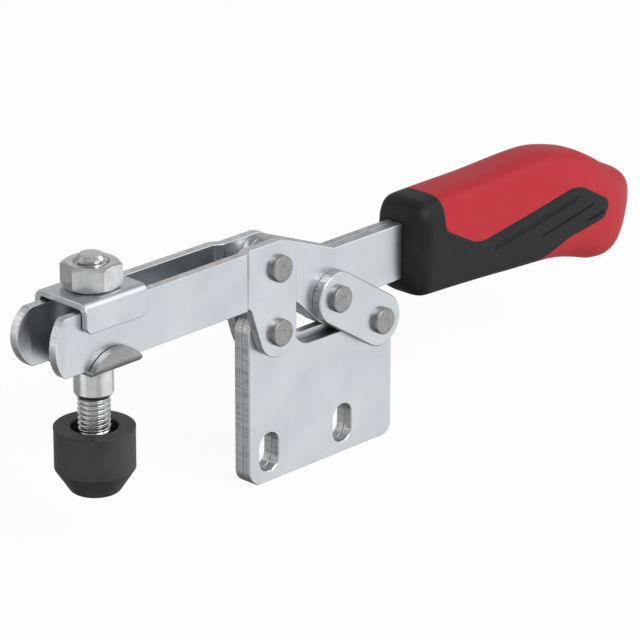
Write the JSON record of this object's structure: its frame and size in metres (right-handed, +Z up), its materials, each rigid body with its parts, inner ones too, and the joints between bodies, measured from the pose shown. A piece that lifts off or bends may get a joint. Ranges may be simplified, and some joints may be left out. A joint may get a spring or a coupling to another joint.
{
  "type": "toggle clamp",
  "caption": "Horizontal toggle clamp with an open two-strip arm, a sliding spindle with a rubber pressure cap, a slotted vertical base and a two-colour moulded handle.",
  "frame": {"origin": "mid-plane of the clamp, halfway between the centres of the two fixing slots of the base", "axes": "+X from the clamping arm towards the handle, +Y across the clamp, +Z up from the fixing slots to the arm"},
  "size_m": [0.2085, 0.0202, 0.074],
  "materials": {
    "plated_sheet": "satin zinc-plated sheet steel",
    "turned_pin": "turned steel, left bare",
    "bush_steel": "ground steel",
    "plated_thread": "bright zinc-plated steel",
    "cap_rubber": "moulded matt rubber",
    "grip_red": "fine-grained moulded plastic",
    "grip_black": "soft moulded grip, matt"
  },
  "bodies": {
    "base": {"base_plate_near": "plated_sheet", "base_plate_far": "plated_sheet", "arm_bush": "bush_steel", "link_bush": "bush_steel"},
    "arm": {"arm_strip_near": "plated_sheet", "arm_strip_far": "plated_sheet", "arm_pin": "turned_pin", "lever_pin": "turned_pin"},
    "link": {"link_near": "plated_sheet", "link_far": "plated_sheet", "knuckle_pin": "turned_pin", "link_pin": "turned_pin"},
    "lever": {"lever_plate_near": "plated_sheet", "lever_plate_far": "plated_sheet", "knuckle_bush": "bush_steel", "handle_body": "grip_red", "soft_grip": "grip_black"},
    "carriage": {"upper_saddle": "plated_sheet", "lower_seat": "plated_sheet", "threaded_collar": "plated_thread", "hex_nut": "plated_thread"},
    "spindle": {"spindle": "plated_thread", "pressure_cap": "cap_rubber"}
  },
  "joints": [
    {"name": "arm_swing", "type": "hinge", "parent": "base", "child": "arm", "pos_m": [-0.012, 0, 0.0321], "axis": [0, 1, 0], "range_deg": [0, 80]},
    {"name": "link_swing", "type": "hinge", "parent": "base", "child": "link", "pos_m": [0.0243, 0, 0.0251], "axis": [0, 1, 0], "range_deg": [0, 80.5]},
    {"name": "lever_swing", "type": "hinge", "parent": "link", "child": "lever", "pos_m": [0.00896, 0, 0.03507], "axis": [0, -1, 0], "range_deg": [0, 128.5]},
    {"name": "saddle_slide", "type": "slide", "parent": "arm", "child": "carriage", "axis": [1, 0, 0], "range_m": [-0.004, 0.026]},
    {"name": "spindle_travel", "type": "slide", "parent": "carriage", "child": "spindle", "axis": [0, 0, 1], "range_m": [-0.002, 0.006]}
  ],
  "couplings": [
    {"joint": "link_swing", "follows": "arm_swing", "ratio": 1},
    {"joint": "lever_swing", "follows": "arm_swing", "ratio": 1.6}
  ]
}
